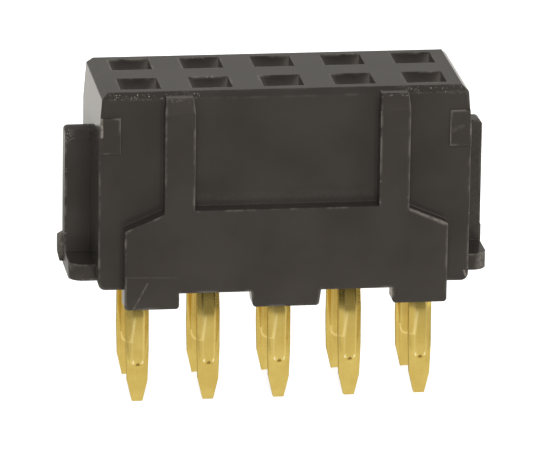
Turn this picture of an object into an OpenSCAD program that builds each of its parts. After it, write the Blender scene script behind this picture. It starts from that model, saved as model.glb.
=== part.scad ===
// Upright two-row board socket with formed contacts
// The board surface is z = 0, the rows run along X and the keyed front faces -Y.
// All lengths are in millimetres.

/* [Contact grid] */
// Contacts in each row
positions = 5; // [3:1:12]
// Spacing of the contacts along a row
pitch = 2; // [1.8:0.05:3]
// Spacing of the two rows
row_pitch = 2; // [1.8:0.05:3]

/* [Housing body] */
// Opening of a cavity along the row
cavity_l = 1.13; // [1:0.01:1.3]
// Opening of a cavity across the row
cavity_w = 1.1; // [1:0.01:1.3]
// Wall from the last cavity to the end of the body
end_wall = 0.64; // [0.45:0.005:1]
// Wall from a cavity to the long side of the body
side_wall = 0.45; // [0.35:0.01:0.8]
// Height of the mating face above the board
mating_h = 6.1; // [5.6:0.02:8]
// Clear height under the body
standoff = 0.45; // [0.3:0.01:0.8]
// Chamfer round the mating face
top_chamfer = 0.17; // [0.05:0.01:0.3]
// Rounding of the lower corners at the ends
heel_r = 0.2; // [0.1:0.02:0.3]
// Inward lean of the end faces near the mating face
end_lead = 0.08; // [0.02:0.01:0.12]
// Height over which the end faces lean in
end_lead_h = 1.17; // [0.5:0.01:1.5]

/* [Base] */
// How far the base stands out from the long sides
base_out = 0.5; // [0.3:0.05:0.8]
// Set-back of the base from the ends of the body
base_inset = 0.68; // [0.4:0.02:0.9]
// Height of the base between the ribs
base_h = 2.83; // [2.5:0.01:3.4]
// Height at which a shoulder leaves the rib
shoulder_h = 2.74; // [2.4:0.01:3.3]
// Height of the shoulders at the ends of the base
shoulder_end_h = 2.27; // [1.6:0.01:2.4]

/* [Feet] */
// Length of an end foot along the row
end_foot_l = 1.53; // [0.8:0.01:1.6]
// Length of a middle foot along the row
mid_foot_l = 1.97; // [1:0.01:2]
// How far the feet reach in under the body
foot_in = 0.1; // [0.04:0.02:0.34]
// Narrowing of a middle foot on each side towards the board
foot_draft = 0.06; // [0:0.01:0.1]
// Rounding of a foot's lower corners
foot_r = 0.1; // [0.04:0.01:0.15]

/* [Polarising ribs] */
// Width of a rib
rib_w = 0.84; // [0.5:0.02:1.2]
// Drop of a rib's top below the mating face
rib_drop = 0.07; // [0:0.01:0.3]
// Height of the lead-in at a rib's top
rib_lead_h = 0.4; // [0.1:0.02:0.8]
// Set-back of the lead-in at the front of a rib
rib_lead = 0.18; // [0.05:0.01:0.25]
// Set-back of the lead-in at each side of a rib
rib_lead_side = 0.04; // [0:0.01:0.15]

/* [Corner pads] */
// Length of a pad along the row
pad_l = 0.6; // [0.3:0.02:0.9]
// Height of a pad
pad_h = 1.03; // [0.5:0.01:1.5]
// Drop of a pad's top below the mating face
pad_drop = 0.68; // [0.3:0.02:1]
// How far a pad stands out
pad_out = 0.06; // [0.03:0.01:0.15]

/* [End latches] */
// Thickness of a fin
fin_t = 0.6; // [0.4:0.02:0.9]
// Offset of the fins from the middle towards the back
fin_back = 0.55; // [0:0.01:0.6]
// Reach of a fin from the end of the body
fin_out = 0.7; // [0.4:0.01:1]
// Height of a fin above the board
fin_h = 4.45; // [3:0.01:5.2]
// Rounding of a fin's outer top corner
fin_r = 0.14; // [0.05:0.01:0.3]
// Width of a flange
flange_w = 2.18; // [1.6:0.02:2.8]
// Reach of a flange from the end of the body
flange_out = 0.7; // [0.5:0.01:0.8]
// Thickness of a flange
flange_t = 0.47; // [0.3:0.01:0.7]
// Rounding of a flange's front corner
flange_r = 0.4; // [0.1:0.02:0.5]
// Width of the catch at the back of a flange
catch_w = 0.24; // [0.15:0.01:0.6]
// Reach of a catch from the end of the body
catch_out = 0.83; // [0.8:0.01:1.1]
// Height of a catch above the underside
catch_h = 0.83; // [0.6:0.01:1.2]
// Set-back of a catch at the underside
catch_in = 0.06; // [0.02:0.01:0.1]
// Height of the slope under a catch
catch_slope = 0.25; // [0.1:0.01:0.4]
// Set-back of the slope on top of a catch
catch_lead = 0.15; // [0.05:0.01:0.2]
// Height of the slope on top of a catch
catch_lead_h = 0.09; // [0.04:0.01:0.15]

/* [Solder tails] */
// Thickness of the contact sheet
sheet = 0.2; // [0.15:0.01:0.22]
// Offset of a tail outwards from its socket axis
tail_set = 0.195; // [0.1:0.005:0.22]
// Width of a tail below the board
tail_w = 0.64; // [0.58:0.01:0.7]
// Width of a tail above its tip
blade_w = 0.58; // [0.5:0.01:0.6]
// Length of a tail below the board
tail_l = 3.06; // [2.9:0.02:4]
// Width of a tail's tip
tip_w = 0.3; // [0.2:0.01:0.4]
// Length of the taper at a tail's tip
taper_l = 0.6; // [0.4:0.01:0.75]
// Width of the stiffening bead's flat crown
bead_w = 0.32; // [0.2:0.01:0.4]
// Height of the bead
bead_h = 0.08; // [0.04:0.01:0.12]
// Length of the bead below the board
bead_l = 2.14; // [1.6:0.01:2.2]
// Depth below the board at which the blade ends and the folded shank begins
shank_l = 1.33; // [1:0.01:1.5]
// Depth below the board at which the shank bends inwards
bend_l = 0.5; // [0.3:0.01:0.6]

/* [Contact springs] */
// Gap between a contact and the long wall of its cavity
seat_gap = 0.02; // [0.01:0.005:0.05]
// Gap between the barbs and the cavity
barb_gap = 0.01; // [0.005:0.005:0.03]
// Gap between the cage and the cavity
cage_gap = 0.06; // [0.03:0.01:0.1]
// Rise from the underside to the barbed plate
plate_at = 0.7; // [0.5:0.01:0.9]
// Height of the barbed plate
plate_h = 1; // [0.8:0.02:1.2]
// Depth of a barb
barb_out = 0.06; // [0.03:0.01:0.1]
// Width of the neck between the plate and the cage
neck_w = 0.56; // [0.4:0.02:0.7]
// Length of the neck
neck_l = 0.25; // [0.1:0.01:0.4]
// Height of the cage
cage_h = 1.1; // [0.8:0.02:1.4]
// Depth of the cage's side walls
cage_d = 0.85; // [0.6:0.01:0.95]
// Width of a spring beam
beam_w = 0.5; // [0.3:0.01:0.6]
// Gap between the beams where they grip
grip_gap = 0.3; // [0.1:0.01:0.36]
// Depth of the grip below the mating face
grip_depth = 1.15; // [0.9:0.01:1.4]
// Depth of the beam tips below the mating face
tip_depth = 0.7; // [0.4:0.01:0.8]
// Gap between the beam tips and the cavity
tip_gap = 0.07; // [0.05:0.01:0.15]

/* [Hidden] */
rows = ["a", "b"];
function contact_name(row, i) = str("contact_", row, i);

// Extent of the contact grid
grid_l = (positions - 1) * pitch;

// Outer sizes of the body and of its base
body_l = grid_l + cavity_l + 2 * end_wall;
body_w = row_pitch + cavity_w + 2 * side_wall;
base_l = body_l - 2 * base_inset;
base_w = body_w + 2 * base_out;

// The ribs stand midway between the two outer contacts of a row
rib_x = (grid_l - pitch) / 2;

// Depth by which joined forms run into each other
root = min(end_wall, side_wall) / 2;

// Contact levels, from the underside upwards
plate_z = standoff + plate_at;
neck_z = plate_z + plate_h;
cage_z = neck_z + neck_l;
cage_top = cage_z + cage_h;

// Planes of the tail, outwards from the socket axis, and of the spine, inwards from it
tail_outer = tail_set + sheet / 2;
crown = tail_outer + bead_h;
spine_inner = cavity_w / 2 - seat_gap;
spine_set = spine_inner - sheet / 2;

// Slant of a shank from its bend to the spine, as a slope and as an angle
slant = (spine_set + crown - sheet / 2) / (plate_z + bend_l);
lean = atan(slant);
cage_l = cavity_l - 2 * cage_gap;
plate_w = cavity_l - 2 * barb_gap - 2 * barb_out;

round_fn = 48;

// Places of the contacts along a row
function contact_x(i) = (i - (positions + 1) / 2) * pitch;

// A half outline completed by its mirror image across the second axis
function mirrored(half) = concat(half, [for (i = [len(half) - 1 : -1 : 0]) [-half[i][0], half[i][1]]]);

// A strip of even thickness that follows a path
function strip(path, t) = concat(
    [for (p = path) [p[0] - t / 2, p[1]]],
    [for (i = [len(path) - 1 : -1 : 0]) [path[i][0] + t / 2, path[i][1]]]
);

// An outline in X and Z, drawn out along Y about the origin
module along_y(depth) {
    rotate([90, 0, 0])
        linear_extrude(depth, center = true)
            children();
}

// An outline in Y and Z, drawn out along X about the origin
module along_x(length) {
    rotate([90, 0, 90])
        linear_extrude(length, center = true)
            children();
}

// Body seen from the front, with a chamfered top, ends that lean in below it and rounded lower corners
module body_front() {
    half = body_l / 2;
    polygon(mirrored([
        [half, standoff + heel_r],
        [half, mating_h - end_lead_h],
        [half - end_lead, mating_h - top_chamfer],
        [half - end_lead - top_chamfer, mating_h]
    ]));
    translate([heel_r - half, standoff])
        square([body_l - 2 * heel_r, 2 * heel_r]);
    for (side = [-1, 1])
        translate([side * (half - heel_r), standoff + heel_r])
            circle(heel_r, $fn = round_fn);
}

// Body seen from its end
module body_end() {
    half = body_w / 2;
    polygon(mirrored([
        [half, standoff],
        [half, mating_h - top_chamfer],
        [half - top_chamfer, mating_h]
    ]));
}

module body() {
    intersection() {
        along_y(body_w) body_front();
        along_x(body_l) body_end();
    }
}

// Wide base with shoulders that fall away outside the ribs
module base() {
    along_y(base_w)
        polygon(mirrored([
            [base_l / 2, standoff],
            [base_l / 2, shoulder_end_h],
            [rib_x + rib_w / 2, shoulder_h],
            [rib_x - rib_w / 2, base_h]
        ]));
}

// One foot at the edge of the base, centred on its length, with rounded lower corners
module foot(length, draft) {
    depth = base_out + foot_in;
    slope = atan(draft / standoff);
    tangent = foot_r * tan(45 - slope / 2);
    corner = length / 2 - draft;
    translate([0, (depth - base_w) / 2, 0])
        along_y(depth) {
            polygon(mirrored([
                [length / 2, standoff + root],
                [length / 2, standoff],
                [corner + tangent * sin(slope), tangent * cos(slope)],
                [corner - tangent, 0]
            ]));
            for (side = [-1, 1])
                translate([side * (corner - tangent), foot_r])
                    circle(foot_r, $fn = round_fn);
        }
}

// Three feet under each long edge of the base
module feet() {
    for (turn = [0, 180])
        rotate([0, 0, turn]) {
            foot(mid_foot_l, foot_draft);
            for (side = [-1, 1])
                translate([side * (base_l - end_foot_l) / 2, 0, 0])
                    foot(end_foot_l, 0);
        }
}

// Rib up the front of the body, flush with the base, with a lead-in at its top
module rib() {
    top = mating_h - rib_drop;
    front = -base_w / 2;
    intersection() {
        along_y(base_w)
            polygon(mirrored([
                [rib_w / 2, standoff],
                [rib_w / 2, top - rib_lead_h],
                [rib_w / 2 - rib_lead_side, top]
            ]));
        along_x(rib_w)
            polygon([
                [front, standoff],
                [front, top - rib_lead_h],
                [front + rib_lead, top],
                [root - body_w / 2, top],
                [root - body_w / 2, standoff]
            ]);
    }
}

// Low pad at the end of the front face, flush with the leaning end
module pad() {
    intersection() {
        translate([body_l / 2 - pad_l, -body_w / 2 - pad_out, mating_h - pad_drop - pad_h])
            cube([pad_l, pad_out + root, pad_h]);
        along_y(base_w) body_front();
    }
}

// Upright fin on an end, set back from its middle
module fin() {
    translate([0, fin_back, 0])
        along_y(fin_t) {
            translate([-root, standoff]) {
                square([root + fin_out - fin_r, fin_h - standoff]);
                square([root + fin_out, fin_h - fin_r - standoff]);
            }
            translate([fin_out - fin_r, fin_h - fin_r])
                circle(fin_r, $fn = round_fn);
        }
}

// Flange across the foot of a fin, rounded at the front
module flange() {
    translate([0, 0, standoff])
        linear_extrude(flange_t) {
            translate([-root, -flange_w / 2])
                square([root + flange_out - flange_r, flange_w]);
            translate([-root, flange_r - flange_w / 2])
                square([root + flange_out, flange_w - flange_r]);
            translate([flange_out - flange_r, flange_r - flange_w / 2])
                circle(flange_r, $fn = round_fn);
        }
}

// Catch that rises from the back of a flange
module catch() {
    translate([0, (flange_w - catch_w) / 2, standoff])
        along_y(catch_w)
            polygon([
                [-root, 0],
                [catch_out - catch_in, 0],
                [catch_out, catch_slope],
                [catch_out, catch_h - catch_lead_h],
                [catch_out - catch_lead, catch_h],
                [-root, catch_h]
            ]);
}

module end_latch() {
    translate([body_l / 2, 0, 0]) {
        fin();
        flange();
        catch();
    }
}

// Square cavities right through the body
module cavities() {
    for (i = [1 : positions], side = [-1, 1])
        translate([contact_x(i), side * row_pitch / 2, 0])
            linear_extrude(2 * mating_h)
                square([cavity_l, cavity_w], center = true);
}

module housing() {
    color([0.16, 0.15, 0.14])
        difference() {
            union() {
                body();
                base();
                feet();
                for (side = [0, 1])
                    mirror([side, 0, 0]) {
                        translate([rib_x, 0, 0]) rib();
                        pad();
                        end_latch();
                    }
            }
            cavities();
        }
}

// Tapered blade of the tail, up to the folded shank
module blade() {
    translate([0, -tail_set, 0])
        along_y(sheet)
            polygon(mirrored([
                [tip_w / 2, -tail_l],
                [blade_w / 2, taper_l - tail_l],
                [tail_w / 2, -shank_l - sheet],
                [tail_w / 2, -shank_l]
            ]));
}

// Bead pressed out of the blade, with a sloping lower end
module bead(base_level) {
    rise = base_level + bead_h;
    intersection() {
        linear_extrude(2 * tail_l, center = true)
            polygon(mirrored([
                [bead_w / 2 + 2 * bead_h, bead_h - base_level],
                [bead_w / 2, -rise]
            ]));
        along_x(tail_w)
            polygon([
                [bead_h - base_level, -bead_l],
                [-rise, 2 * bead_h - bead_l],
                [-rise, -shank_l],
                [bead_h - base_level, -shank_l]
            ]);
    }
}

// Section of the shank, with both edges folded back from a crown that carries on the bead
module shank_section() {
    edge = tail_w / 2;
    ridge = bead_w / 2;
    fold = crown - edge + ridge;
    polygon(concat(
        [[-edge, -fold], [-ridge, -crown], [ridge, -crown], [edge, -fold]],
        [[edge, sheet - fold], [ridge, sheet - crown], [-ridge, sheet - crown], [-edge, sheet - fold]]
    ));
}

// Upright and slanting lengths of the shank, which meet in a mitre behind the bend of the crown
module shank() {
    drop = (tail_w + crown) * tan(lean / 2);
    rise = (tail_w - crown) * tan(lean / 2);
    mitre = [[-tail_w, rise - bend_l], [tail_w, -drop - bend_l]];
    intersection() {
        translate([0, 0, -shank_l - sheet])
            linear_extrude(shank_l + sheet)
                shank_section();
        along_x(2 * tail_w)
            polygon(concat(mitre, [[tail_w, -tail_l], [-tail_w, -tail_l]]));
    }
    intersection() {
        translate([0, -crown, -bend_l])
            rotate([-lean, 0, 0])
                translate([0, crown, -bend_l])
                    linear_extrude(tail_l)
                        shank_section();
        along_x(2 * tail_w)
            polygon(concat(mitre, [[tail_w, standoff], [-tail_w, standoff]]));
    }
}

// Flat strip that carries on the slant of the shank to the spine along the inner wall of the cavity
module jog() {
    along_x(neck_w)
        polygon(strip([
            [spine_set - slant * (plate_at + sheet), standoff - sheet],
            [spine_set, plate_z],
            [spine_set, plate_z + sheet]
        ], sheet));
}

// Plate with two pairs of barbs that hold it in the cavity, and the neck above it
module plate() {
    barb = plate_w / 2 + barb_out;
    step = plate_h / 4;
    translate([0, spine_set, plate_z])
        along_y(sheet)
            polygon(mirrored([
                [neck_w / 2, 0],
                [plate_w / 2, step],
                [barb, step],
                [plate_w / 2, 2 * step],
                [barb, 2 * step],
                [plate_w / 2, 3 * step],
                [neck_w / 2, 4 * step],
                [neck_w / 2, plate_h + neck_l + sheet]
            ]));
}

// Cage of three walls round the pin
module cage() {
    translate([0, 0, cage_z])
        linear_extrude(cage_h)
            difference() {
                translate([-cage_l / 2, spine_inner - cage_d])
                    square([cage_l, cage_d]);
                translate([sheet - cage_l / 2, spine_inner - cage_d - sheet])
                    square([cage_l - 2 * sheet, cage_d]);
            }
}

// Spring beam that leans in to the grip and flares at its tip
module beam() {
    wall_x = (cage_l - sheet) / 2;
    grip_x = (grip_gap + sheet) / 2;
    tip_x = cavity_l / 2 - tip_gap - sheet / 2;
    along_y(beam_w)
        polygon(strip([
            [wall_x, cage_top - sheet],
            [wall_x, cage_top],
            [grip_x, mating_h - grip_depth],
            [tip_x, mating_h - tip_depth]
        ], sheet));
}

// One contact about its socket axis, with its tail set towards -Y
module contact() {
    color([0.8, 0.66, 0.33])
        union() {
            difference() {
                union() {
                    blade();
                    bead(tail_outer);
                }
                bead(tail_outer - sheet);
            }
            shank();
            jog();
            plate();
            cage();
            for (side = [0, 1])
                mirror([side, 0, 0]) beam();
        }
}

// A contact in its cavity; the second row is turned to face the first
module contact_at(row, i) {
    front = row == rows[0];
    translate([contact_x(i), (front ? -1 : 1) * row_pitch / 2, 0])
        rotate([0, 0, front ? 0 : 180])
            contact();
}

housing();
for (row = rows, i = [1 : positions])
    contact_at(row, i);
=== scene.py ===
import math

import bmesh
import bpy
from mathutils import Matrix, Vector


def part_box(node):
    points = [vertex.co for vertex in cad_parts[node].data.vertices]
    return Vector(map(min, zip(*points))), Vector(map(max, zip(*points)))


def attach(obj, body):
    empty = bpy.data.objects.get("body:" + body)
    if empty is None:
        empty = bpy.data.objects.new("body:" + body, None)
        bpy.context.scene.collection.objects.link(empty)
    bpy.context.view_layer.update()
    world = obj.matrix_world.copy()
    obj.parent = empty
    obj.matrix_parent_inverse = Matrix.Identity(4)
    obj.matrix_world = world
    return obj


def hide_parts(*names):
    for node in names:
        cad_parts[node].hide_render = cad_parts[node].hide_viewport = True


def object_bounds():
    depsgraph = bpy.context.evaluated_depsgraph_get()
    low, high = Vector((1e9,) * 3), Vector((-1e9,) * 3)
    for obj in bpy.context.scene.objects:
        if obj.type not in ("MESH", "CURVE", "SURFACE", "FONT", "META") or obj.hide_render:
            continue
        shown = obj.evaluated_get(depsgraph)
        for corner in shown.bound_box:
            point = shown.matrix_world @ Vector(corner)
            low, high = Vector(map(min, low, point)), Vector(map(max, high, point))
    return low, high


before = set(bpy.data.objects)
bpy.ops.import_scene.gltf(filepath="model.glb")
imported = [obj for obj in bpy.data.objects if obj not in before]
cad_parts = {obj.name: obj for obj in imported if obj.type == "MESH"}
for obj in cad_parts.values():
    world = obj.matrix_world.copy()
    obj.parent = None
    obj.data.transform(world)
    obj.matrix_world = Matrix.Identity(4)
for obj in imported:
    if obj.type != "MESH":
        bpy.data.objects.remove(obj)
cadLow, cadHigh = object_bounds()
mm = 0.001
weldReach = 0.001 * mm                         # corners nearer than this are one
black, white = (0, 0, 0, 1), (1, 1, 1, 1)
print("frame loaded:", len(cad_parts), "nodes")


# camera

cameraSetup = {
    "azimuth": -8.108,                         # degrees, minus is left of the keyed front
    "elevation": 16.944,
    "roll": 0.807,
    "distance": 186.377 * mm,
    "target": (-0.124 * mm, 0.0, 1.599 * mm),  # point in the middle of the picture
    "focalPixels": 6630.0,
    "imageWidth": 540,
    "sensorWidth": 36.0,
    "clip": (0.01, 10.0),
}


def addObject(name, data):
    thing = bpy.data.objects.new(name, data)
    bpy.context.scene.collection.objects.link(thing)
    return thing


def directionTo(azimuth, elevation):
    azimuth, elevation = math.radians(azimuth), math.radians(elevation)
    return Vector((math.sin(azimuth) * math.cos(elevation),
                   -math.cos(azimuth) * math.cos(elevation),
                   math.sin(elevation)))


def addCamera(setup):
    back = directionTo(setup["azimuth"], setup["elevation"])
    data = bpy.data.cameras.new("photoCamera")
    data.sensor_width = setup["sensorWidth"]
    data.lens = setup["focalPixels"] * setup["sensorWidth"] / setup["imageWidth"]
    data.clip_start, data.clip_end = setup["clip"]
    camera = addObject("photoCamera", data)
    camera.location = Vector(setup["target"]) + back * setup["distance"]
    aim = (-back).to_track_quat("-Z", "Y").to_matrix()
    roll = math.radians(setup["roll"])
    right, up = aim.col[0].copy(), aim.col[1].copy()
    aim.col[0] = right * math.cos(roll) + up * math.sin(roll)
    aim.col[1] = up * math.cos(roll) - right * math.sin(roll)
    camera.rotation_euler = aim.to_euler()
    bpy.context.scene.camera = camera


addCamera(cameraSetup)
print("camera placed")


# node helpers

def emptyTree(owner):
    owner.use_nodes = True
    owner.node_tree.nodes.clear()
    return owner.node_tree


# a socket goes by its name, or by its number as in0, in1 and so on
def setInput(tree, node, name, value):
    socket = node.inputs[int(name[2:]) if name.startswith("in") else name]
    if isinstance(value, bpy.types.NodeSocket):
        tree.links.new(value, socket)
    else:
        socket.default_value = value


def newNode(tree, kind, **inputs):
    node = tree.nodes.new(kind)
    for name, value in inputs.items():
        setInput(tree, node, name, value)
    return node


def mathNode(tree, operation, *values, clamp=False):
    node = tree.nodes.new("ShaderNodeMath")
    node.operation = operation
    node.use_clamp = clamp
    for index, value in enumerate(values):
        setInput(tree, node, f"in{index}", value)
    return node.outputs[0]


def vectorNode(tree, operation, *values):
    node = tree.nodes.new("ShaderNodeVectorMath")
    node.operation = operation
    for index, value in enumerate(values):
        setInput(tree, node, "Scale" if operation == "SCALE" and index else f"in{index}", value)
    return node.outputs["Value" if operation in ("DOT_PRODUCT", "LENGTH") else "Vector"]


def splitVector(tree, value):
    return newNode(tree, "ShaderNodeSeparateXYZ", in0=value).outputs


# sockets 6 and 7 take the colours, and output 2 gives their mixture
def mixColours(tree, amount, first, second):
    node = tree.nodes.new("ShaderNodeMix")
    node.data_type = "RGBA"
    setInput(tree, node, "in0", amount)
    setInput(tree, node, "in6", first)
    setInput(tree, node, "in7", second)
    return node.outputs[2]


def mixValues(tree, amount, first, second):
    return newNode(tree, "ShaderNodeMix", in0=amount, in2=first, in3=second).outputs[0]


# a value that goes from low to high while another crosses a range
def spread(tree, value, crossed, low=0.0, high=1.0):
    node = tree.nodes.new("ShaderNodeMapRange")
    for index, amount in enumerate((value, *crossed, low, high)):
        setInput(tree, node, f"in{index}", amount)
    return node.outputs[0]


def noise(tree, place, scale, detail=2.0):
    node = newNode(tree, "ShaderNodeTexNoise", Vector=place, Scale=scale, Detail=detail)
    return node.outputs[0]


def newGroup(name, inputs, outputs):
    tree = bpy.data.node_groups.new(name, "ShaderNodeTree")
    for label, kind in inputs.items():
        tree.interface.new_socket(label, in_out="INPUT", socket_type=kind)
    for label, kind in outputs.items():
        tree.interface.new_socket(label, in_out="OUTPUT", socket_type=kind)
    return tree, tree.nodes.new("NodeGroupInput").outputs, tree.nodes.new("NodeGroupOutput")


def useGroup(tree, group, **inputs):
    node = tree.nodes.new("ShaderNodeGroup")
    node.node_tree = group
    for name, value in inputs.items():
        setInput(tree, node, name, value)
    return node.outputs


def newMaterial(name):
    material = bpy.data.materials.new(name)
    tree = emptyTree(material)
    shader = tree.nodes.new("ShaderNodeBsdfPrincipled")
    output = tree.nodes.new("ShaderNodeOutputMaterial")
    tree.links.new(shader.outputs[0], output.inputs[0])
    place = tree.nodes.new("ShaderNodeTexCoord").outputs["Object"]
    return material, tree, shader, place


# effects for the materials

effectSetup = {
    "patchRange": (0.35, 0.65),                # noise that goes from one tone to the other
    "patchDetail": 3.0,
    "samples": 8,                              # of each look round an edge or a hollow
    "edgeRange": (0.95, 0.6),                  # openness, from a flat face to an edge
    "dotRadius": (0.15, 0.45),                 # smallest and largest speck, in cells
    "dotFade": (0.6, 1.0),                     # shares of its radius where a speck fades
    "strokeFade": (0.2, 0.5),                  # shares of its width where a stroke fades
}
number, vector = "NodeSocketFloat", "NodeSocketVector"


def makeGrainGroup(setup):
    tree, given, result = newGroup("surfaceGrain",
                                   {"Place": vector, "Patch": number, "Grain": number},
                                   {"Tone": number, "Fine": number})
    patchScale = mathNode(tree, "DIVIDE", 1.0, given["Patch"])
    patches = noise(tree, given["Place"], patchScale, setup["patchDetail"])
    setInput(tree, result, "Tone", spread(tree, patches, setup["patchRange"]))
    grainScale = mathNode(tree, "DIVIDE", 1.0, given["Grain"])
    setInput(tree, result, "Fine", noise(tree, given["Place"], grainScale))
    return tree


# a normal that runs round the edges, and how near the outer edges and the inner corners are
def makeEdgeGroup(setup):
    tree, given, result = newGroup("softEdge", {"Radius": number, "Reach": number},
                                   {"Normal": vector, "Outer": number, "Inner": number})
    bevel = newNode(tree, "ShaderNodeBevel", Radius=given["Radius"])
    bevel.samples = setup["samples"]
    setInput(tree, result, "Normal", bevel.outputs[0])
    for label, inside in (("Outer", True), ("Inner", False)):
        nearby = newNode(tree, "ShaderNodeAmbientOcclusion", Distance=given["Reach"])
        nearby.samples = setup["samples"]
        nearby.inside = inside
        nearby.only_local = True
        setInput(tree, result, label, spread(tree, nearby.outputs["AO"], setup["edgeRange"]))
    return tree


# scattered dots, of which only a share of the cells show one
def makeSpeckGroup(setup):
    tree, given, result = newGroup("specks", {"Place": vector, "Cell": number, "Share": number},
                                   {"Mask": number})
    cells = newNode(tree, "ShaderNodeTexVoronoi", Vector=given["Place"],
                    Scale=mathNode(tree, "DIVIDE", 1.0, given["Cell"]))
    chance = newNode(tree, "ShaderNodeSeparateColor", Color=cells.outputs["Color"])
    shown = mathNode(tree, "LESS_THAN", chance.outputs[0], given["Share"])
    radius = spread(tree, chance.outputs[1], (0.0, 1.0), *setup["dotRadius"])
    away = mathNode(tree, "DIVIDE", cells.outputs["Distance"], radius)
    dot = spread(tree, away, setup["dotFade"], 1.0, 0.0)
    setInput(tree, result, "Mask", mathNode(tree, "MULTIPLY", dot, shown))
    return tree


# a soft stroke between two points
def makeStrokeGroup(setup):
    tree, given, result = newGroup("stroke", {"Place": vector, "Start": vector, "End": vector,
                                              "Width": number}, {"Mask": number})
    along = vectorNode(tree, "SUBTRACT", given["End"], given["Start"])
    here = vectorNode(tree, "SUBTRACT", given["Place"], given["Start"])
    share = mathNode(tree, "DIVIDE", vectorNode(tree, "DOT_PRODUCT", here, along),
                     vectorNode(tree, "DOT_PRODUCT", along, along), clamp=True)
    nearest = vectorNode(tree, "SCALE", along, share)
    away = vectorNode(tree, "LENGTH", vectorNode(tree, "SUBTRACT", here, nearest))
    away = mathNode(tree, "DIVIDE", away, given["Width"])
    setInput(tree, result, "Mask", spread(tree, away, setup["strokeFade"], 1.0, 0.0))
    return tree


grainGroup, edgeGroup = makeGrainGroup(effectSetup), makeEdgeGroup(effectSetup)
speckGroup, strokeGroup = makeSpeckGroup(effectSetup), makeStrokeGroup(effectSetup)


# plastic

plasticLook = {
    "dark": (0.028, 0.0243, 0.0216, 1),
    "light": (0.0355, 0.0313, 0.0282, 1),
    "wearAndHighlight": (0.2, 0.183, 0.158, 1),            # rubbed edges and scratches, and painted highlights
    "speck": (0.28, 0.262, 0.225, 1),          # chipped dots along the edges
    "recess": (0.21, 0.187, 0.164, 1),         # painted light deep in the cavities
    "sheen": (1.0, 0.92, 0.79, 1),             # tint of the gloss
    "patch": 1.6 * mm,
    "grain": 0.035 * mm,
    "grainBump": 0.0006 * mm,
    "grainRange": (0.3, 0.7),                  # noise that goes from smooth to rough
    "roughLow": 0.14,
    "roughHigh": 0.22,
    "endPlace": (5.05 * mm, 5.15 * mm),        # from the middle, where the ends begin
    "endFacing": (0.85, 0.95),                 # sideways part of the normal on the end faces
    "endRough": 0.9,                           # times this on them, because they are smoother
    "softEdge": 0.05 * mm,
    "edgeReach": 0.09 * mm,
    "cranny": 0.2,                             # painted shade in the inner corners at the ends
    "recessReach": 0.9 * mm,
    "recessRange": (0.7, 0.3),                 # openness, from a face to deep in a cavity
    "cavityPlace": (1.8 * mm, 1.9 * mm),       # from the middle, where the painted cavity light ends
    "rub": 0.5,                                # of the edges, in stretches
    "rubPatch": 0.45 * mm,                     # length of the stretches
    "rubDetail": 3.0,
    "rubRange": (0.47, 0.65),
    "rightHighlight": 0.5,                           # painted highlight along the right-hand edges
    "rightFacing": (0.25, 0.6),
    "rubsAndHighlights": (                                  # start, end and width in mm, and strength; rubs, scratches and painted highlights
        ((-4.26, -2.5, 0.05), (-3.88, -2.5, 0.76), 0.07, 0.3),    # scratch on the left foot
        ((-4.45, -2.5, 0.95), (-3.05, -2.5, 0.91), 0.045, 0.13),  # witness line over that foot
        ((-4.48, -2.5, 0.95), (-4.48, -2.5, 0.57), 0.04, 0.3),
        ((5.09, -2.0, 0.72), (5.14, -2.0, 0.57), 0.08, 1.0),      # painted highlight on the lower right corner
        ((3.5, -2.44, 2.73), (4.48, -2.44, 2.29), 0.24, 0.9),     # painted highlight on the right shoulder
        ((-5.97, 0.88, 0.85), (-5.97, 0.88, 1.5), 0.7, 0.6),      # painted light on the left catch
        ((5.75, -1.09, 0.85), (5.75, -1.09, 0.55), 0.4, 0.6),     # painted highlight on the right flange
        ((5.6, 0.25, 4.2), (5.6, 0.25, 1.1), 1.2, 0.07),          # painted light on the right fin
        ((-2.3, -2.0, 3.0), (2.3, -2.0, 3.0), 0.5, 0.05),         # painted light over the shade at the foot of the middle panel
        ((-5.14, -2.06, 5.41), (-5.13, -2.06, 4.9), 0.1, 0.9),    # left pad
        ((-4.58, -2.06, 5.4), (-4.58, -2.06, 4.75), 0.06, 0.5),
        ((4.59, -2.06, 5.39), (4.6, -2.06, 4.4), 0.09, 0.7),      # right pad
        ((5.19, -2.06, 5.0), (5.19, -2.06, 4.7), 0.08, 0.7),
        ((4.63, -2.06, 4.82), (4.95, -2.06, 4.95), 0.16, 0.12),
        ((2.55, -2.4, 6.03), (3.35, -2.4, 6.04), 0.14, 0.7),      # top of the right rib
    ),
    "rubBreak": 0.11 * mm,                     # length of the breaks in them
    "breakRange": (0.35, 0.6),
    "breakLeast": 0.35,                        # share of a rub that stays in a break
    "speckCell": 0.07 * mm,
    "speckShare": 0.22,
    "speckPatch": 1.1 * mm,                    # length of the edge stretches with specks
    "speckRange": (0.5, 0.6),
    "chipped": (                               # start, end and width in mm, where specks crowd
        ((-4.8, -1.95, 6.02), (-2.5, -1.95, 6.02), 0.3),          # top front edge
        ((3.2, -1.95, 6.02), (5.1, -1.95, 6.0), 0.3),
        ((-3.3, -2.4, 6.03), (-2.6, -2.4, 6.02), 0.3),            # tops of the ribs
        ((2.5, -2.4, 6.03), (3.4, -2.4, 6.04), 0.3),
        ((-4.5, -2.5, 2.28), (-4.09, -2.5, 2.53), 0.15),          # left shoulder
    ),
    "chipCell": 0.045 * mm,
    "chipShare": 0.4,
    "gateMark": (                              # rough patch on the left fin, as above
        ((-5.9, 0.25, 4.5), (-5.85, 0.25, 4.28), 0.5),
    ),
    "gateCell": 0.055 * mm,
    "gateShare": 0.95,
    "dulled": ((-5.85, 0.45, 4.42), (-5.35, 0.45, 4.45), 0.8),    # top of the left fin
    "dullRough": 0.4,                          # added roughness there
}


def strokeMask(tree, place, start, end, width):
    return useGroup(tree, strokeGroup, Place=place, Start=Vector(start) * mm,
                    End=Vector(end) * mm, Width=width * mm)["Mask"]


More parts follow.
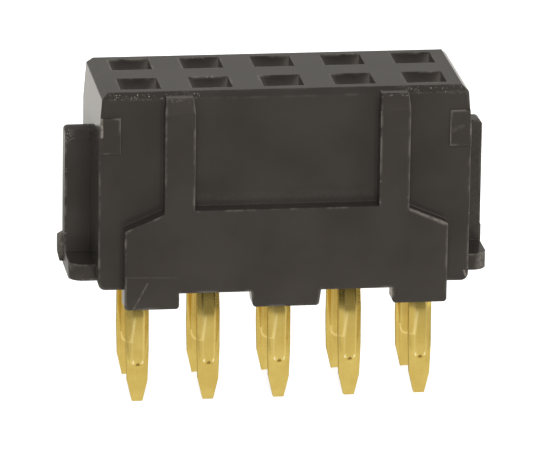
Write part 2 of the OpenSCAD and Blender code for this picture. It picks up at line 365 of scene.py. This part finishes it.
def speckMask(tree, place, cell, share):
    return useGroup(tree, speckGroup, Place=place, Cell=cell, Share=share)["Mask"]


def makePlastic(look):
    material, tree, shader, place = newMaterial("blackMoulding")
    grain = useGroup(tree, grainGroup, Place=place, Patch=look["patch"], Grain=look["grain"])
    edge = useGroup(tree, edgeGroup, Radius=look["softEdge"], Reach=look["edgeReach"])
    facing = splitVector(tree, edge["Normal"])["X"]
    away = splitVector(tree, vectorNode(tree, "ABSOLUTE", place))
    atEnd = spread(tree, away["X"], look["endPlace"])
    colour = mixColours(tree, grain["Tone"], look["dark"], look["light"])

    # painted light deep in the cavities, and painted shade in the inner corners at the ends
    openness = newNode(tree, "ShaderNodeAmbientOcclusion", Distance=look["recessReach"])
    openness.samples = effectSetup["samples"]
    hollow = spread(tree, openness.outputs["AO"], look["recessRange"])
    inBody = spread(tree, away["Y"], look["cavityPlace"], 1.0, 0.0)
    litCavity = mathNode(tree, "MULTIPLY", hollow, inBody)
    litCavity = mathNode(tree, "SUBTRACT", litCavity, atEnd, clamp=True)
    colour = mixColours(tree, litCavity, colour, look["recess"])
    # painted shade: the inner corners at the ends are darkened towards black
    cranny = mathNode(tree, "MULTIPLY", atEnd, look["cranny"])
    colour = mixColours(tree, mathNode(tree, "MULTIPLY", edge["Inner"], cranny), colour, black)

    # rubbed edges and scratches, and painted highlights on right-hand edges and some corners
    patches = noise(tree, place, 1 / look["rubPatch"], look["rubDetail"])
    rubbed = spread(tree, patches, look["rubRange"], 0.0, look["rub"])
    # painted highlight on the edges that face right
    litRightEdges = spread(tree, facing, look["rightFacing"], 0.0, look["rightHighlight"])
    wearAndHighlight = mathNode(tree, "MULTIPLY", edge["Outer"], mathNode(tree, "MAXIMUM", rubbed, litRightEdges))
    breaks = noise(tree, place, 1 / look["rubBreak"])
    broken = spread(tree, breaks, look["breakRange"], look["breakLeast"], 1.0)
    for start, end, width, strength in look["rubsAndHighlights"]:
        rub = mathNode(tree, "MULTIPLY", strokeMask(tree, place, start, end, width), strength)
        wearAndHighlight = mathNode(tree, "MAXIMUM", wearAndHighlight, mathNode(tree, "MULTIPLY", rub, broken))
    colour = mixColours(tree, wearAndHighlight, colour, look["wearAndHighlight"])

    # specks along the edges, and crowded ones in the chipped places and on the gate mark
    stretch = spread(tree, noise(tree, place, 1 / look["speckPatch"]), look["speckRange"])
    specks = speckMask(tree, place, look["speckCell"], look["speckShare"])
    specks = mathNode(tree, "MULTIPLY", specks, mathNode(tree, "MULTIPLY", edge["Outer"], stretch))
    for strokes, cell, share in (("chipped", "chipCell", "chipShare"),
                                 ("gateMark", "gateCell", "gateShare")):
        crowd = speckMask(tree, place, look[cell], look[share])
        for stroke in look[strokes]:
            chips = mathNode(tree, "MULTIPLY", crowd, strokeMask(tree, place, *stroke))
            specks = mathNode(tree, "MAXIMUM", specks, chips)
    setInput(tree, shader, "Base Color", mixColours(tree, specks, colour, look["speck"]))

    # gloss
    rough = spread(tree, grain["Fine"], look["grainRange"], look["roughLow"], look["roughHigh"])
    sideways = spread(tree, mathNode(tree, "ABSOLUTE", facing), look["endFacing"])
    endFace = mathNode(tree, "MULTIPLY", atEnd, sideways)
    smoother = spread(tree, endFace, (0.0, 1.0), 1.0, look["endRough"])
    rough = mathNode(tree, "MULTIPLY", rough, smoother)
    dulled = strokeMask(tree, place, *look["dulled"])
    dulled = mathNode(tree, "SUBTRACT", dulled, endFace, clamp=True)
    rough = mathNode(tree, "MULTIPLY_ADD", dulled, look["dullRough"], rough)
    setInput(tree, shader, "Roughness", rough)
    shader.inputs["Specular Tint"].default_value = look["sheen"]
    bump = newNode(tree, "ShaderNodeBump", Strength=1.0, Distance=look["grainBump"],
                   Height=grain["Fine"], Normal=edge["Normal"])
    setInput(tree, shader, "Normal", bump.outputs[0])
    return material


# gold

goldLook = {
    "pale": (0.81, 0.62, 0.185, 1),
    "deep": (0.73, 0.54, 0.145, 1),
    "ridgeHighlight": (1.0, 0.8, 0.32, 1),          # painted highlight on the ridges of the pressed lines
    "glint": (1.0, 0.91, 0.57, 1),             # painted glints, bright spots on the bead's round end
    "cutAndShade": (0.52, 0.39, 0.12, 1),          # cut sides of the sheet, and painted shade in the pressed hollows
    "endShade": (0.3, 0.2, 0.05, 1),                # painted shade in the middle of the bead's round end
    "sheen": (1.0, 0.86, 0.5, 1),              # tint of the gloss at a low angle
    "ridges": (                                # colour, range of the ridge value and strength
        ("ridgeHighlight", (0.1, 0.55), 1.0),
        ("glint", (0.8, 1.4), 1.0),
        ("cutAndShade", (-0.1, -0.5), 0.5),
        ("endShade", (-0.7, -1.2), 1.0),
    ),
    "patch": 0.5 * mm,
    "drawLines": (0.02 * mm, 0.02 * mm, 0.6 * mm),  # grain runs along the tails
    "lineBump": 0.0001 * mm,
    "lineRange": (0.3, 0.7),                   # noise that goes from smooth to rough
    "roughLow": 0.25,
    "roughHigh": 0.31,
    "cutFacing": (0.85, 0.95),                 # sideways part of the normal on the cut sides
    "cutRough": 0.25,                          # added roughness there
}


def makeGold(look):
    material, tree, shader, place = newMaterial("goldPlating")
    grain = useGroup(tree, grainGroup, Place=place, Patch=look["patch"], Grain=look["patch"])
    lines = noise(tree, vectorNode(tree, "DIVIDE", place, look["drawLines"]), 1.0)
    colour = mixColours(tree, grain["Tone"], look["deep"], look["pale"])
    ridge = tree.nodes.new("ShaderNodeAttribute")
    ridge.attribute_name = "ridge"
    # painted highlights and shade on the tails, from the ridge values
    for name, crossed, strength in look["ridges"]:
        amount = spread(tree, ridge.outputs["Fac"], crossed, 0.0, strength)
        colour = mixColours(tree, amount, colour, look[name])
    normal = tree.nodes.new("ShaderNodeNewGeometry").outputs["True Normal"]
    sideways = mathNode(tree, "ABSOLUTE", splitVector(tree, normal)["X"])
    cut = spread(tree, sideways, look["cutFacing"])
    setInput(tree, shader, "Base Color", mixColours(tree, cut, colour, look["cutAndShade"]))
    rough = spread(tree, lines, look["lineRange"], look["roughLow"], look["roughHigh"])
    rough = mathNode(tree, "MULTIPLY_ADD", cut, look["cutRough"], rough)
    setInput(tree, shader, "Roughness", rough)
    shader.inputs["Metallic"].default_value = 1.0
    shader.inputs["Specular Tint"].default_value = look["sheen"]
    bump = newNode(tree, "ShaderNodeBump", Strength=1.0, Distance=look["lineBump"], Height=lines)
    setInput(tree, shader, "Normal", bump.outputs[0])
    return material


# housing, whose edges are rounded by modifiers, so its mesh stays as it is

housingEdges = {
    "radius": 0.045 * mm,
    "segments": 3,
    "leastAngle": 25,                          # degrees, flatter edges stay as they are
}


# marks the outer edges for rounding and leaves the inner corners sharp
def makeOuterEdges(leastAngle):
    tree = bpy.data.node_groups.new("outerEdges", "GeometryNodeTree")
    tree.is_modifier = True
    for way in ("INPUT", "OUTPUT"):
        tree.interface.new_socket("Geometry", in_out=way, socket_type="NodeSocketGeometry")
    given, result = tree.nodes.new("NodeGroupInput"), tree.nodes.new("NodeGroupOutput")
    angle = tree.nodes.new("GeometryNodeInputMeshEdgeAngle").outputs["Signed Angle"]
    outer = mathNode(tree, "GREATER_THAN", angle, math.radians(leastAngle))
    store = tree.nodes.new("GeometryNodeStoreNamedAttribute")
    store.data_type, store.domain = "FLOAT", "EDGE"
    store.inputs["Name"].default_value = "bevel_weight_edge"
    setInput(tree, store, "Value", outer)
    tree.links.new(given.outputs[0], store.inputs["Geometry"])
    tree.links.new(store.outputs["Geometry"], result.inputs[0])
    return tree


def roundEdges(piece, edges):
    piece.modifiers.new("weldCorners", "WELD").merge_threshold = weldReach
    outerEdges = makeOuterEdges(edges["leastAngle"])
    piece.modifiers.new("outerEdges", "NODES").node_group = outerEdges
    bevel = piece.modifiers.new("roundEdges", "BEVEL")
    bevel.width = edges["radius"]
    bevel.segments = edges["segments"]
    bevel.limit_method = "WEIGHT"
    bevel.miter_outer = "MITER_ARC"
    bevel.harden_normals = True


# contacts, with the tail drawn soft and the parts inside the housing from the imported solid

contactForm = {                                # heights are above the tip
    "sheet": 0.2 * mm,
    "outline": (                               # height and half width of the tail
        (0.0, 0.15 * mm),
        (0.6 * mm, 0.29 * mm),
        (1.53 * mm, 0.32 * mm),
    ),
    "beadHeight": 0.08 * mm,
    "beadHalf": 0.16 * mm,                     # half the flat crown, where the folds begin
    "beadEnd": 1.25 * mm,                      # height of the centre of the bead's round end
    "hollowSlope": 0.12,                       # the hollow behind the bead runs out more gently
    "hollowEnd": 1.27 * mm,                    # height where the hollow's round end starts
    "hollowDrop": 0.3 * mm,                    # length of that end
    "hollowHalf": 0.18 * mm,
    "foldEnd": (1.15 * mm, 2.3 * mm),          # heights between which the folds grow
    "foldLine": 1.73 * mm,                     # height of the crease across the folds
    "bend": 2.56 * mm,                         # height where the shank bends inwards
    "bendSoft": 0.1 * mm,
    "slant": 0.37,                             # inwards per length above the bend
    "top": 3.51 * mm,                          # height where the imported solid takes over
    "softness": 0.025 * mm,                    # rounding of the pressed lines
    "cornerRound": 0.018 * mm,
    "sharpAngle": 50,                          # degrees, sharper edges aren't shaded smooth
    "columns": 24,
    "rowStep": 0.03 * mm,
}

tailPaint = {                                  # ridge values, which goldLook turns into colours: painted highlights and shade
    "tip": -0.5,
    # painted highlight on the left half of the crease across the folds, painted shade on the right
    # half
    "creaseLeft": 0.5,
    "creaseRight": -0.4,
    "streak": 0.7,                             # painted highlight on the left fold
    "streakStart": 0.18 * mm,                  # left of the middle, at the crease
    "streakLean": 0.12,                        # inwards per height
    "streakWidth": 0.04 * mm,
    "streakFade": 0.2 * mm,                    # length below the bend where it fades
    "spotPlace": (0.68, 0.91),                 # shares of the bead's half width
    "spot": 6.0,                               # times the bend of the face, in the painted bright spots
    "besideSpots": 0.4,                        # outside them
    "middle": -12.0,                           # and between them, where shade is painted
    "middleHalf": 0.3,
    "hollowLine": 0.14,                        # width of the hollow's edge, as a share
    "hollowBright": 0.6,                       # painted highlight on its round end
    "hollowDark": 0.45,                        # painted shade on its sides
    "duskRise": 1.0 * mm,                      # painted shade, darker upwards in the hollow, by 1 in this length
    "duskMost": 0.4,
}


def softRamp(value, softness):
    return (value + math.sqrt(value * value + softness * softness)) / 2


def halfWidth(height, outline):
    for (lowHeight, lowHalf), (highHeight, highHalf) in zip(outline, outline[1:]):
        if height <= highHeight:
            share = (height - lowHeight) / (highHeight - lowHeight)
            return lowHalf + (highHalf - lowHalf) * share
    return outline[-1][1]


# how far the outer face lies behind the crown, at a place across the tail and a height
def faceDepth(across, height, form, endSlope=1.0):
    away = math.hypot(across, endSlope * max(form["beadEnd"] - height, 0.0))
    foldLow, foldHigh = form["foldEnd"]
    share = min(max((height - foldLow) / (foldHigh - foldLow), 0.0), 1.0)
    reach = form["beadHeight"] * (1 + share * share * (3 - 2 * share))
    fall = softRamp(away - form["beadHalf"], form["softness"])
    depth = reach - softRamp(reach - fall, form["softness"])
    return depth + form["slant"] * softRamp(height - form["bend"], form["bendSoft"])


# painted highlights and shade on the outer face, more than 0 on a ridge
def pressedLine(x, height, form, paint):
    if height < form["rowStep"] / 2:
        return paint["tip"]
    rise = height - form["foldLine"]
    if abs(rise) < form["rowStep"] / 2 and abs(x) > form["beadHalf"]:
        return paint["creaseLeft"] if x < 0 else paint["creaseRight"]
    reach = form["cornerRound"]
    nearby = ((x - reach, height), (x + reach, height), (x, height - reach), (x, height + reach))
    depths = sum(faceDepth(*place, form) for place in nearby)
    bend = (depths - len(nearby) * faceDepth(x, height, form)) / reach
    # painted highlight on the left fold, fading out below the bend
    if rise > 0 and x < 0:
        aside = x + paint["streakStart"] - paint["streakLean"] * rise
        fade = min(max((form["bend"] - height) / paint["streakFade"], 0.0), 1.0)
        return max(bend, paint["streak"] * fade * math.exp(-(aside / paint["streakWidth"]) ** 2))
    if height > form["beadEnd"] or bend < 0:
        return bend
    # painted on the bead's round end: two bright spots and a shaded middle
    aside = abs(x) / form["beadHalf"]
    spotLow, spotHigh = paint["spotPlace"]
    if spotLow < aside < spotHigh:
        return bend * paint["spot"]
    return bend * (paint["besideSpots"] if aside > paint["middleHalf"] else paint["middle"])


# the same for the inner face, with a painted highlight on the hollow's round end and painted shade
# along its sides and inside it
def hollowLine(x, height, form, paint):
    rise = height - form["hollowEnd"]
    away = math.hypot(x / form["hollowHalf"], max(-rise, 0.0) / form["hollowDrop"])
    line = math.exp(-((away - 1) / paint["hollowLine"]) ** 2)
    if rise < 0:
        return paint["hollowBright"] * line
    dusk = min(rise / paint["duskRise"], paint["duskMost"]) if away < 1 else 0.0
    return -max(paint["hollowDark"] * line, dusk)


# points round the tail at one height, each with its ridge value
def tailSection(height, form, paint):
    half, corner, sheet = halfWidth(height, form["outline"]), form["cornerRound"], form["sheet"]
    columns = form["columns"]
    across = [(2 * step / columns - 1) * (half - corner) for step in range(columns + 1)]
    outer = [(x, faceDepth(x, height, form), pressedLine(x, height, form, paint)) for x in across]
    inner = [(x, faceDepth(x, height, form, form["hollowSlope"]) + sheet,
              hollowLine(x, height, form, paint)) for x in reversed(across)]
    edge = outer[0][1]
    left = [(-half, edge + sheet - corner, 0.0), (-half, edge + corner, 0.0)]
    right = [(half, edge + corner, 0.0), (half, edge + sheet - corner, 0.0)]
    return left + outer + right + inner


# the tail without its top face, and the edges round that opening
def addTail(shape, form, paint, centreX, crownY, tipZ, side):
    ridge = shape.verts.layers.float.new("ridge")
    rows = round(form["top"] / form["rowStep"])
    loops = []
    for row in range(rows + 1):
        height = form["top"] * row / rows
        loop = []
        for x, depth, stands in tailSection(height, form, paint):
            corner = shape.verts.new((centreX + x, crownY - side * depth, tipZ + height))
            corner[ridge] = stands
            loop.append(corner)
        loops.append(loop)
    for low, high in zip(loops, loops[1:]):
        for index in range(len(low)):
            shape.faces.new((low[index - 1], low[index], high[index], high[index - 1]))
    shape.faces.new(reversed(loops[0]))
    top = loops[-1]
    return [shape.edges.get((top[index - 1], top[index])) for index in range(len(top))]


def makeContact(name, node, form, paint):
    low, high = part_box(name)
    side = 1 if low.y + high.y > 0 else -1     # the back row is turned half a turn
    crownY = high.y if side > 0 else low.y
    shape = bmesh.new()
    shape.from_mesh(node.data)
    bmesh.ops.remove_doubles(shape, verts=shape.verts, dist=weldReach)
    cutZ = low.z + form["top"] + form["rowStep"]
    cut = bmesh.ops.bisect_plane(shape, geom=shape.verts[:] + shape.edges[:] + shape.faces[:],
                                 plane_co=(0, 0, cutZ), plane_no=(0, 0, 1), clear_inner=True)
    rim = [part for part in cut["geom_cut"] if isinstance(part, bmesh.types.BMEdge)]
    rim += addTail(shape, form, paint, (low.x + high.x) / 2, crownY, low.z, side)
    bmesh.ops.bridge_loops(shape, edges=rim)
    bmesh.ops.recalc_face_normals(shape, faces=shape.faces)
    for face in shape.faces:
        face.smooth = True
    mesh = bpy.data.meshes.new(name + "Formed")
    shape.to_mesh(mesh)
    shape.free()
    mesh.set_sharp_from_angle(angle=math.radians(form["sharpAngle"]))
    piece = addObject(name + "Formed", mesh)
    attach(piece, "root")
    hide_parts(name)
    return piece


plastic, gold = makePlastic(plasticLook), makeGold(goldLook)
for name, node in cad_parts.items():
    if name == "housing":
        node.material_slots[0].material = plastic
        roundEdges(node, housingEdges)
    else:
        makeContact(name, node, contactForm, tailPaint).data.materials.append(gold)
print("pieces dressed")


# floor, world and lamps

stageSetup = {
    "floorSize": 2.0,
    "floorColour": (0.85, 0.85, 0.85, 1),
    "floorWhite": 0.7,                         # added white for the camera only
    "nearReach": 20 * mm,                      # bright part of the floor round the object
    "nearFade": 0.4,                           # share of it where the brightness starts to fall
    "backFade": 1.6,                           # and where the back reaches its own
    "glossNear": 0.9,                          # white of the floor in the gloss, near the object
    "glossFar": 0.3,                           # farther away in front of it
    "glossBack": 0.95,                         # behind it
    "glossRight": 2.0,                         # times this on the bright side
    "floorBack": (-0.5, 0.3),                  # directions from front to back
    "floorRight": (0.35, 0.8),                 # and to the bright side
    "glossColour": (1.0, 0.973, 0.92, 1),      # of the floor and the room in the gloss
    "worldFill": 0.42,                         # light on the object
    "roomFront": 0.3,                          # room seen in the gloss, in front
    "roomTop": 0.18,                           # above
    "roomBack": 0.4,                           # behind
    "roomRight": 3.0,                          # and high on the right
    "topRange": (0.4, 0.7),                    # directions where these take over
    "backRange": (-0.3, 0.6),
    "highRange": (0.15, 0.4),
    "rightRange": (0.4, 0.9),
    "lamps": (
        {"name": "keyLamp", "azimuth": -4, "elevation": 30, "distance": 0.5, "size": 0.25,
         "power": 2.05},
        {"name": "backLamp", "azimuth": 175, "elevation": 58, "distance": 0.5, "size": 0.2,
         "power": 0.7},
    ),
}


def seenRays(tree):
    paths = tree.nodes.new("ShaderNodeLightPath").outputs
    gloss = mathNode(tree, "MAXIMUM", paths["Is Glossy Ray"], paths["Is Transmission Ray"])
    return paths["Is Camera Ray"], gloss


# the floor as the gloss sees it, bright round the object, behind it and on the right
def floorSheen(tree, setup):
    place = tree.nodes.new("ShaderNodeTexCoord").outputs["Object"]
    towards = splitVector(tree, vectorNode(tree, "NORMALIZE", place))
    away = vectorNode(tree, "LENGTH", place)
    reach = setup["nearReach"]
    near = spread(tree, away, (reach, setup["nearFade"] * reach), 0.0, setup["glossNear"])
    behind = spread(tree, away, (reach, setup["backFade"] * reach),
                    setup["glossFar"], setup["glossBack"])
    far = spread(tree, towards["Y"], setup["floorBack"], setup["glossFar"], behind)
    aside = spread(tree, towards["X"], setup["floorRight"], 1.0, setup["glossRight"])
    return mathNode(tree, "MAXIMUM", near, mathNode(tree, "MULTIPLY", far, aside))


def addFloor(setup):
    half = setup["floorSize"] / 2
    corners = [(-half, -half, 0), (half, -half, 0), (half, half, 0), (-half, half, 0)]
    mesh = bpy.data.meshes.new("floor")
    mesh.from_pydata(corners, [], [(0, 1, 2, 3)])
    floor = addObject("floor", mesh)
    floor.location.z = cadLow.z
    material = bpy.data.materials.new("whiteFloor")
    tree = emptyTree(material)
    camera, gloss = seenRays(tree)
    matte = newNode(tree, "ShaderNodeBsdfDiffuse",
                    Color=mixColours(tree, gloss, setup["floorColour"], black))
    added = mathNode(tree, "MULTIPLY", camera, setup["floorWhite"])
    glow = newNode(tree, "ShaderNodeEmission",
                   Strength=mathNode(tree, "MULTIPLY_ADD", gloss, floorSheen(tree, setup), added),
                   Color=mixColours(tree, gloss, white, setup["glossColour"]))
    both = newNode(tree, "ShaderNodeAddShader", in0=glow.outputs[0], in1=matte.outputs[0])
    newNode(tree, "ShaderNodeOutputMaterial", Surface=both.outputs[0])
    mesh.materials.append(material)


# white for the camera, an even fill on the object and a shaded room in the gloss
def addWorld(setup):
    world = bpy.data.worlds.new("studio")
    bpy.context.scene.world = world
    tree = emptyTree(world)
    camera, gloss = seenRays(tree)
    direction = splitVector(tree, tree.nodes.new("ShaderNodeTexCoord").outputs["Generated"])
    front = spread(tree, direction["Z"], setup["topRange"], setup["roomFront"], setup["roomTop"])
    depth = spread(tree, direction["Y"], setup["backRange"], front, setup["roomBack"])
    above = spread(tree, direction["Z"], setup["highRange"], depth, setup["roomRight"])
    room = spread(tree, direction["X"], setup["rightRange"], depth, above)
    lit = mixValues(tree, gloss, setup["worldFill"], room)
    sky = newNode(tree, "ShaderNodeBackground", Strength=mixValues(tree, camera, lit, 1.0),
                  Color=mixColours(tree, gloss, white, setup["glossColour"]))
    newNode(tree, "ShaderNodeOutputWorld", Surface=sky.outputs[0])


def addLamp(lamp):
    data = bpy.data.lights.new(lamp["name"], "AREA")
    data.size = lamp["size"]
    data.energy = lamp["power"]
    piece = addObject(lamp["name"], data)
    towards = directionTo(lamp["azimuth"], lamp["elevation"])
    piece.location = towards * lamp["distance"]
    piece.rotation_euler = (-towards).to_track_quat("-Z", "Y").to_euler()
    piece.visible_glossy = False               # the gloss shows the room alone


addFloor(stageSetup)
addWorld(stageSetup)
for lamp in stageSetup["lamps"]:
    addLamp(lamp)
bpy.context.scene.view_settings.view_transform = "Standard"
print("floor and light placed")
